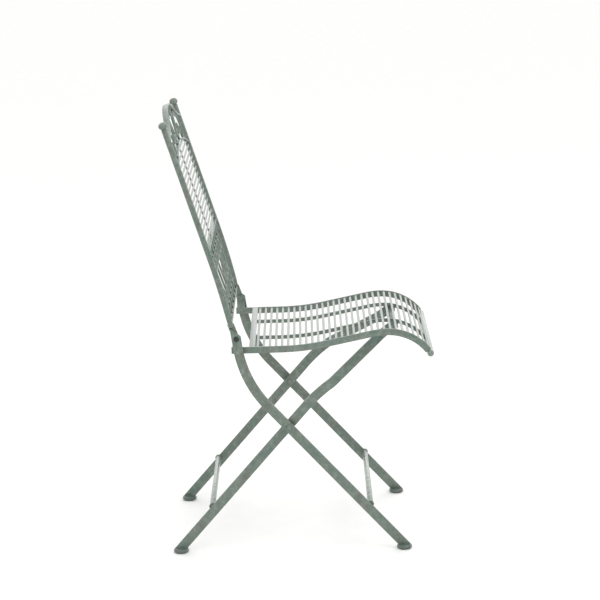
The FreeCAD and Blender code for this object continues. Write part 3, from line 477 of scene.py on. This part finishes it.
# rolled strip slats, one tree for the back and the seat
def slatTree():
    tree, given = newTree("slatTree", [
        ("Width", "Float"), ("Thickness", "Float"), ("Corner", "Float"), ("Lengths", "Int"),
        ("Waver", "Float"), ("Waver Size", "Float"), ("Seed", "Int"), ("Material", "Material")])
    line = addNode(tree, "GeometryNodeCurvePrimitiveLine", {}, {
        "Start": (-1, 0, 0), "End": (1, 0, 0)})
    cut = addNode(tree, "GeometryNodeResampleCurve", {}, {
        "Curve": line.outputs["Curve"], "Count": given["Lengths"]})
    level = addNode(tree, "GeometryNodeSetCurveNormal", {"mode": "Z_UP"}, {
        "Curve": cut.outputs["Curve"]})
    section = addNode(tree, "GeometryNodeCurvePrimitiveQuadrilateral", {}, {
        "Width": given["Width"], "Height": given["Thickness"]})
    softSection = addNode(tree, "GeometryNodeFilletCurve", {"mode": "POLY"}, {
        "Curve": section.outputs["Curve"], "Count": 3, "Radius": given["Corner"], "Limit Radius": True})
    strip = addNode(tree, "GeometryNodeCurveToMesh", {}, {
        "Curve": level.outputs["Curve"], "Profile Curve": softSection.outputs["Curve"],
        "Fill Caps": True})
    halfSpan = namedValue(tree, "halfSpan")
    turn = addNode(tree, "ShaderNodeCombineXYZ", {}, {"X": namedValue(tree, "tilt")})
    stretch = addNode(tree, "ShaderNodeCombineXYZ", {}, {
        "X": halfSpan, "Y": 1.0, "Z": 1.0})
    row = addNode(tree, "GeometryNodeInstanceOnPoints", {}, {
        "Points": given["Points"], "Instance": strip.outputs["Mesh"],
        "Rotation": turn.outputs["Vector"], "Scale": stretch.outputs["Vector"]})
    real = addNode(tree, "GeometryNodeRealizeInstances", {}, {"Geometry": row.outputs["Instances"]})
    # each strip wavers a little along its length, as hand-set strips do
    size = addNode(tree, "ShaderNodeMath", {"operation": "DIVIDE"}, {0: 1.0, 1: given["Waver Size"]})
    drift = addNode(tree, "ShaderNodeTexNoise", {"noise_dimensions": "4D"}, {
        "W": given["Seed"], "Scale": size.outputs["Value"], "Detail": 0.0})
    wavered = uneven(tree, real.outputs["Geometry"], drift.outputs["Color"], (0, 1, 1), given["Waver"])
    closeTree(tree, wavered, given["Material"])
    return tree


def stripRow(corners):
    # place, half length and tilt of one straight strip, from its eight corners
    middle = middleOf(corners)
    near = [corner for corner in corners if corner.x > middle.x]
    others = sorted(near[1:], key=lambda corner: (corner - near[0]).length)
    across = others[1] - near[0]
    return {"at": middle, "halfSpan": near[0].x - middle.x, "tilt": math.atan2(across.z, across.y)}


backSlatRows = [stripRow(looseParts(name)[0]) for name in backSlatNames]
seatSlatRows = [stripRow(corners) for corners in looseParts("seat_slats")]
slatShape = {"Width": mm(5.2), "Thickness": mm(2.4), "Corner": mm(0.95), "Lengths": 18,
             "Waver": mm(0.5), "Waver Size": mm(60), "Seed": 4, "Material": paintedSheenSlatEnamel}
strips = slatTree()
newPiece(
    "back_slats", grown(strips, pointCloud("backSlatPoints", backSlatRows), slatShape, "back_slats"),
    "frame", None, backSlatNames)
newPiece(
    "seat_slat_row",
    grown(strips, pointCloud("seatSlatPoints", seatSlatRows), slatShape, "seat_slat_row"),
    "seat", None, ["seat_slats"])
print("slats grown:", len(backSlatRows), "in the back,", len(seatSlatRows), "in the seat")


# rings bent from the same strip as the scrolls
def ringTree():
    tree, given = newTree("ringTree", [
        ("Radius", "Float"), ("Depth", "Float"), ("Thickness", "Float"),
        ("Corner", "Float"), ("Steps", "Int"), ("Material", "Material")])
    loop = addNode(tree, "GeometryNodeCurvePrimitiveCircle", {"mode": "RADIUS"}, {
        "Resolution": given["Steps"], "Radius": given["Radius"]})
    upright = addNode(tree, "GeometryNodeSetCurveNormal", {"mode": "Z_UP"}, {
        "Curve": loop.outputs["Curve"]})
    section = addNode(tree, "GeometryNodeCurvePrimitiveQuadrilateral", {}, {
        "Width": given["Thickness"], "Height": given["Depth"]})
    softSection = addNode(tree, "GeometryNodeFilletCurve", {"mode": "POLY"}, {
        "Curve": section.outputs["Curve"], "Count": 3, "Radius": given["Corner"], "Limit Radius": True})
    band = addNode(tree, "GeometryNodeCurveToMesh", {}, {
        "Curve": upright.outputs["Curve"], "Profile Curve": softSection.outputs["Curve"]})
    turn = addNode(tree, "ShaderNodeCombineXYZ", {}, {"X": namedValue(tree, "tilt")})
    row = addNode(tree, "GeometryNodeInstanceOnPoints", {}, {
        "Points": given["Points"], "Instance": band.outputs["Mesh"],
        "Rotation": turn.outputs["Vector"]})
    closeTree(tree, row.outputs["Instances"], given["Material"])
    return tree


ringCentres = [middleOf(points) for points in looseParts("back_rings")]
lowRings = min(ringCentres, key=lambda centre: centre.z)
highRings = max(ringCentres, key=lambda centre: centre.z)
panelLean = math.atan2(highRings.y - lowRings.y, highRings.z - lowRings.z)
panelUp = Vector((0, math.sin(panelLean), math.cos(panelLean)))
panelRear = Vector((0, math.cos(panelLean), -math.sin(panelLean)))
ringShape = {"Radius": mm(9.5), "Depth": mm(4.5), "Thickness": mm(3), "Corner": mm(0.6), "Steps": 32,
             "Material": frameEnamel}
ringRows = [{"at": centre, "tilt": math.radians(90) - panelLean} for centre in ringCentres]
newPiece(
    "back_ring_rows", grown(ringTree(), pointCloud("ringPoints", ringRows), ringShape, "back_ring_rows"),
    "frame", None, ["back_rings"])
print("rings grown:", len(ringRows))


def turnedMesh(name, outline, steps):
    # spins an outline of (radius, height) round Z
    spun = bmesh.new()
    rows = []
    for radius, height in outline:
        if radius == 0:
            rows.append([spun.verts.new((0, 0, mm(height)))] * steps)
        else:
            angles = [2 * math.pi * step / steps for step in range(steps)]
            rows.append([spun.verts.new((mm(radius) * math.cos(a), mm(radius) * math.sin(a), mm(height)))
                         for a in angles])
    for low, high in zip(rows, rows[1:]):
        for step in range(steps):
            after = (step + 1) % steps
            corners = []
            for vert in (low[step], low[after], high[after], high[step]):
                if vert not in corners:
                    corners.append(vert)
            spun.faces.new(corners)
    bmesh.ops.recalc_face_normals(spun, faces=spun.faces)
    for face in spun.faces:
        face.smooth = True
    mesh = bpy.data.meshes.new(name)
    spun.to_mesh(mesh)
    spun.free()
    return mesh


def softened(piece, levels):
    smooth = piece.modifiers.new("rounding", "SUBSURF")
    smooth.levels = levels
    smooth.render_levels = levels


# turned feet: a flattened button with a rolled rim
footShape = {
    "outline": [(0, 0), (10.5, 0), (13.4, 0.3), (15.6, 1.7), (16.5, 4.0), (16.1, 6.4), (14.4, 8.2),
                (12.2, 8.95), (6, 9), (0, 9)],
    "steps": 40, "rounding": 1,
}


def foot(nodeName):
    low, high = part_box(nodeName)
    mesh = turnedMesh(nodeName + "_turned", footShape["outline"], footShape["steps"])
    mesh.transform(Matrix.Translation(((low.x + high.x) / 2, (low.y + high.y) / 2, low.z)))
    piece = newPiece(nodeName + "_turned", mesh, bodyOf(nodeName), footEnamel, [nodeName])
    softened(piece, footShape["rounding"])


footNames = ("front_foot_left", "front_foot_right", "rear_foot_left", "rear_foot_right")
for nodeName in footNames:
    foot(nodeName)

# finials: a flattened ball over a collar ring and a thin neck
finialShape = {
    "outline": [(0, 0), (6.0, 0), (6.75, 0.25), (6.8, 1.5), (5.6, 2.1), (5.2, 3.0), (6.6, 4.0),
                (8.8, 6.2), (9.5, 9.0), (9.1, 11.8), (7.6, 14.6), (4.8, 16.6), (2, 17.25), (0, 17.35)],
    "steps": 32, "rounding": 1,
}


sameHeight = mm(0.05)


def barTop(nodeName):
    # middle of the upper end face of a bar of the back
    points = [vert.co for vert in frame["nodes"][nodeName].data.vertices]
    highest = max(point.dot(backUp) for point in points)
    return middleOf([point for point in points if point.dot(backUp) > highest - sameHeight])


def finial(side):
    mesh = turnedMesh("finial_" + side + "_turned", finialShape["outline"], finialShape["steps"])
    turn = Matrix.Rotation(-backLean, 4, "X")
    mesh.transform(Matrix.Translation(barTop("upright_" + side)) @ turn)
    piece = newPiece("finial_" + side + "_turned", mesh, "frame", frameEnamel,
                     ["finial_" + side])
    softened(piece, finialShape["rounding"])


for side in ("left", "right"):
    finial(side)
print("feet and finials turned")


rivetLook = {"head": 5.9, "shank": 4.0, "dome": 3.5, "domeSteps": 6, "steps": 24,
             "unevenness": 0.35, "blowSize": 4.0}


# rivets: hammered domes on both ends of one shank
def rivetTree():
    tree, given = newTree("rivetTree", [
        ("Form", "Object"), ("Unevenness", "Float"), ("Material", "Material")])
    form = addNode(tree, "GeometryNodeObjectInfo", {}, {"Object": given["Form"]})
    turn = addNode(tree, "ShaderNodeCombineXYZ", {}, {"Z": namedValue(tree, "facing")})
    row = addNode(tree, "GeometryNodeInstanceOnPoints", {}, {
        "Points": given["Points"], "Instance": form.outputs["Geometry"],
        "Rotation": turn.outputs["Vector"]})
    real = addNode(tree, "GeometryNodeRealizeInstances", {}, {"Geometry": row.outputs["Instances"]})
    blows = addNode(tree, "ShaderNodeTexNoise", {}, {
        "Scale": 1 / mm(rivetLook["blowSize"]), "Detail": 0.0})
    dented = uneven(
        tree, real.outputs["Geometry"], blows.outputs["Color"], (1, 1, 1), given["Unevenness"])
    closeTree(tree, dented, given["Material"])
    return tree


def rivetForm(length, look):
    # outline from one end of the rivet to the other, spun and laid along X
    reach = length / 2 / mm(1)
    head, shank, dome, capSteps = look["head"], look["shank"], look["dome"], look["domeSteps"]
    bulge = (head ** 2 + dome ** 2) / (2 * dome)
    cap = []
    for step in range(capSteps + 1):
        angle = math.asin(head / bulge) * step / capSteps
        cap.append((bulge * math.sin(angle), reach - bulge * (1 - math.cos(angle))))
    cap[-1] = (head, reach - dome)
    upper = cap + [(shank, reach - dome)]
    lower = [(radius, -height) for radius, height in reversed(upper)]
    mesh = turnedMesh("rivetForm", upper + lower, look["steps"])
    mesh.transform(Matrix.Rotation(math.radians(90), 4, "Y"))
    form = bpy.data.objects.new("rivetForm", mesh)
    scene.collection.objects.link(form)
    return form


rivets = rivetTree()
# the crossing rivets were painted with the legs, the seat's were set afterwards
rivetFinish = {
    "cross_rivets": (frameEnamel, "frame_paint"), "cross_spacers": (frameEnamel, "frame_paint"),
    "seat_pivot_rivets": (rivetIron, "rivet_iron"), "seat_pivot_washers": (rivetIron, "rivet_iron"),
}
for nodeName in ("cross_rivets", "seat_pivot_rivets"):
    material, slotName = rivetFinish[nodeName]
    solids = looseParts(nodeName)
    length = max(p.x for p in solids[0]) - min(p.x for p in solids[0])
    form = rivetForm(length, rivetLook)
    rows = [{"at": middleOf(points), "facing": 0.0 if middleOf(points).x > 0 else math.pi}
            for points in solids]
    values = {"Form": form, "Unevenness": mm(rivetLook["unevenness"]), "Material": material}
    mesh = grown(rivets, pointCloud(nodeName + "Points", rows), values, nodeName + "_hammered")
    bpy.data.objects.remove(form)
    newPiece(nodeName + "_hammered", mesh, bodyOf(nodeName), None, [nodeName])
washerWork = {"edge": 0.3, "steps": 2, "sharpFrom": 40}
for nodeName in ("cross_spacers", "seat_pivot_washers"):
    workedBar(nodeName, washerWork, *rivetFinish[nodeName])
print("rivets set")


# weld beads: lumps of filler where pieces meet, with the paint run over them
welds = {"frame": [], "rear_legs": [], "seat": []}


def addBead(body, at, radius):
    welds[body].append({"at": Vector(at), "size": mm(radius)})


def beadRing(body, centre, barRadius, look):
    # stacked beads round the end of a round bar that runs along X
    for step in range(look["count"]):
        angle = 2 * math.pi * step / look["count"]
        outward = Vector((0, math.cos(angle), math.sin(angle))) * mm(barRadius)
        addBead(body, centre + outward, look["radius"])


beadLook = {
    "slatEnd": {"radius": 1.3, "inset": 0.5, "rear": 1.2, "below": 1.4},
    "rodEnd": {"count": 14, "radius": 1.7},
    "ring": {"radius": 1.2, "spread": 2.6, "reach": 10.9, "rear": 1.2},
    "scroll": {"radius": 1.3, "spread": 2.8},
    "foot": {"count": 8, "radius": 1.5, "spread": 21.0, "off": 2.9},
}


def slatBeads(body, row, offset):
    look = beadLook["slatEnd"]
    for end in (-1, 1):
        across = Vector((end * (row["halfSpan"] - mm(look["inset"])), 0, 0))
        addBead(body, row["at"] + across + offset, look["radius"])


# slats of the back are welded from behind and slats of the seat from below
for row in backSlatRows:
    slatBeads("frame", row, backRear * mm(beadLook["slatEnd"]["rear"]))
for row in seatSlatRows:
    below = Vector((0, math.sin(row["tilt"]), -math.cos(row["tilt"])))
    if below.z > 0:
        below.negate()
    slatBeads("seat", row, below * mm(beadLook["slatEnd"]["below"]))
# the bead rings' radius on each rod, and how far in from its end they lie
crossbarWeld = {"radius": 6.0, "inset": 0.6}
rodWelds = {
    "front_crossbar": crossbarWeld, "rear_crossbar": crossbarWeld,
    "catch_rod": {"radius": 5.0, "inset": 5.6},
}
for nodeName, weld in rodWelds.items():
    low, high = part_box(nodeName)
    centre = (low + high) / 2
    for end in (-1, 1):
        at = Vector((end * (high.x - mm(weld["inset"])), centre.y, centre.z))
        beadRing(bodyOf(nodeName), at, weld["radius"], beadLook["rodEnd"])
for centre in ringCentres:
    look = beadLook["ring"]
    outward = panelUp if centre.z > (lowRings.z + highRings.z) / 2 else -panelUp
    for end in (-1, 1):
        side = Vector((end * mm(look["spread"]), 0, 0))
        addBead("frame", centre + outward * mm(look["reach"]) + side + panelRear * mm(look["rear"]),
                look["radius"])
for nodeName in worked:
    if "_scroll_" in nodeName or "_curl_" in nodeName:
        upward = backUp if nodeName.startswith("crest") else panelUp
        points = [vert.co for vert in frame["nodes"][nodeName].data.vertices]
        for toward in (upward, -upward):
            touch = max(points, key=lambda point: point.dot(toward))
            for end in (-1, 1):
                side = Vector((end * mm(beadLook["scroll"]["spread"]), 0, 0))
                addBead("frame", touch + side, beadLook["scroll"]["radius"])
for nodeName in footNames:
    low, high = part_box(nodeName)
    centre = (low + high) / 2
    look = beadLook["foot"]
    for step in range(look["count"]):
        along = mm(look["spread"]) * (step / (look["count"] - 1) - 0.5)
        for face in (-1, 1):
            at = (centre.x + face * mm(look["off"]), centre.y + along, high.z)
            addBead(bodyOf(nodeName), at, look["radius"])


beadShape = {"least": 0.75, "most": 1.25, "rippleSize": 1.5, "ripple": 0.5, "firstSeed": 3}


def beadTree():
    tree, given = newTree("beadTree", [
        ("Roughness", "Float"), ("Seed", "Int"), ("Material", "Material")])
    ball = addNode(tree, "GeometryNodeMeshIcoSphere", {}, {"Radius": 1.0, "Subdivisions": 2})
    # sockets 0 and 1 are the least and the most
    vary = addNode(tree, "FunctionNodeRandomValue", {"data_type": "FLOAT_VECTOR"}, {
        0: (beadShape["least"],) * 3, 1: (beadShape["most"],) * 3, "Seed": given["Seed"]})
    lump = addNode(tree, "ShaderNodeVectorMath", {"operation": "SCALE"}, {
        0: vary.outputs[0], "Scale": namedValue(tree, "size")})
    turn = addNode(tree, "FunctionNodeRandomValue", {"data_type": "FLOAT_VECTOR"}, {
        0: (0, 0, 0), 1: (math.pi, math.pi, math.pi), "Seed": given["Seed"]})
    row = addNode(tree, "GeometryNodeInstanceOnPoints", {}, {
        "Points": given["Points"], "Instance": ball.outputs["Mesh"],
        "Rotation": turn.outputs[0], "Scale": lump.outputs["Vector"]})
    real = addNode(tree, "GeometryNodeRealizeInstances", {}, {"Geometry": row.outputs["Instances"]})
    ripple = addNode(tree, "ShaderNodeTexNoise", {}, {
        "Scale": 1 / mm(beadShape["rippleSize"]), "Detail": 1.0})
    rough = uneven(tree, real.outputs["Geometry"], ripple.outputs["Color"], (1, 1, 1), given["Roughness"])
    closeTree(tree, rough, given["Material"])
    return tree


beads = beadTree()
for number, (body, rows) in enumerate(welds.items()):
    values = {"Roughness": mm(beadShape["ripple"]), "Seed": number + beadShape["firstSeed"],
              "Material": weldEnamel}
    mesh = grown(beads, pointCloud(body + "WeldPoints", rows), values, body + "_welds")
    newPiece(body + "_welds", mesh, body, None)
print("weld beads:", {body: len(rows) for body, rows in welds.items()})

# plain pale floor: matt studio paper
floorLook = {"darkTone": "#f3f3f1", "lightTone": "#f6f6f4", "fibreSize": 60.0, "roughness": 0.9,
             "widthInMetres": 40}
floorMaterial, floorTree, floorSurface = newMaterial("paleStudioPaper")
floorPlace = addNode(floorTree, "ShaderNodeTexCoord").outputs["Object"]
fibres = addNode(floorTree, "ShaderNodeTexNoise", {}, {
    "Vector": floorPlace, "Scale": 1 / mm(floorLook["fibreSize"]), "Detail": 3.0})
paper = addNode(floorTree, "ShaderNodeValToRGB", {}, {"Fac": fibres.outputs["Fac"]})
setStops(paper, [(0.3, floorLook["darkTone"]), (0.7, floorLook["lightTone"])])
floorTree.links.new(paper.outputs["Color"], floorSurface.inputs["Base Color"])
floorSurface.inputs["Roughness"].default_value = floorLook["roughness"]
bpy.ops.mesh.primitive_plane_add(size=floorLook["widthInMetres"])
floor = bpy.context.object
floor.name = "studio_floor"
floor.data.materials.append(floorMaterial)

# white room, brighter overhead and brightest towards a lit wall at +X, and two soft boxes
# the soft boxes' places and sizes are in metres, their power in watts
studio = {
    "roomLight": 0.45, "ceilingLight": 0.5, "wallLight": 1.3,
    "keyBox": {"place": (-1.2, -1.6, 3.4), "target": (0, 0, 0.4), "power": 45, "size": 3.0},
    "fillBox": {"place": (-3.0, 1.8, 1.6), "target": (0, 0, 0.5), "power": 12, "size": 2.5},
}
room = bpy.data.worlds.new("whiteRoom")
room.use_nodes = True
roomTree = room.node_tree
aim = addNode(roomTree, "ShaderNodeSeparateXYZ", {}, {
    "Vector": addNode(roomTree, "ShaderNodeTexCoord").outputs["Generated"]})
wall = addNode(roomTree, "ShaderNodeMapRange", {}, {
    "Value": aim.outputs["X"], "To Min": 0.0, "To Max": studio["wallLight"]})
ceiling = addNode(roomTree, "ShaderNodeMapRange", {}, {
    "Value": aim.outputs["Z"], "To Min": studio["roomLight"],
    "To Max": studio["roomLight"] + studio["ceilingLight"]})
glow = addNode(roomTree, "ShaderNodeMath", {"operation": "ADD"}, {
    0: wall.outputs["Result"], 1: ceiling.outputs["Result"]})
roomGlow = roomTree.nodes["Background"]
roomGlow.inputs["Color"].default_value = srgb("#ffffff")
roomTree.links.new(glow.outputs["Value"], roomGlow.inputs["Strength"])
scene.world = room


def softBox(name, look):
    lamp = bpy.data.lights.new(name, "AREA")
    lamp.shape = "DISK"
    lamp.energy = look["power"]
    lamp.size = look["size"]
    box = bpy.data.objects.new(name, lamp)
    box.location = look["place"]
    aimed = Vector(look["target"]) - Vector(look["place"])
    box.rotation_euler = aimed.to_track_quat("-Z", "Y").to_euler()
    scene.collection.objects.link(box)


for name in ("keyBox", "fillBox"):
    softBox(name, studio[name])

# camera: a long lens on the chair's -X side, 1.5 m up and looking a little down; metres and radians
view = {"lens": 122.896, "sensorWidth": 36, "place": (-4.3503, -0.0265, 1.5290),
        "forward": (0.973551, 0.004905, -0.228419), "roll": -0.030430}
lens = bpy.data.cameras.new("sideView")
lens.lens = view["lens"]
lens.sensor_width = view["sensorWidth"]
camera = bpy.data.objects.new("sideView", lens)
forward = Vector(view["forward"]).normalized()
level = forward.cross(Vector((0, 0, 1))).normalized()
above = level.cross(forward)
right = level * math.cos(view["roll"]) + above * math.sin(view["roll"])
up = above * math.cos(view["roll"]) - level * math.sin(view["roll"])
turned = Matrix((right, up, -forward)).transposed().to_4x4()
camera.matrix_world = Matrix.Translation(view["place"]) @ turned
scene.collection.objects.link(camera)
scene.camera = camera
scene.view_settings.view_transform = "Standard"
print("studio ready")
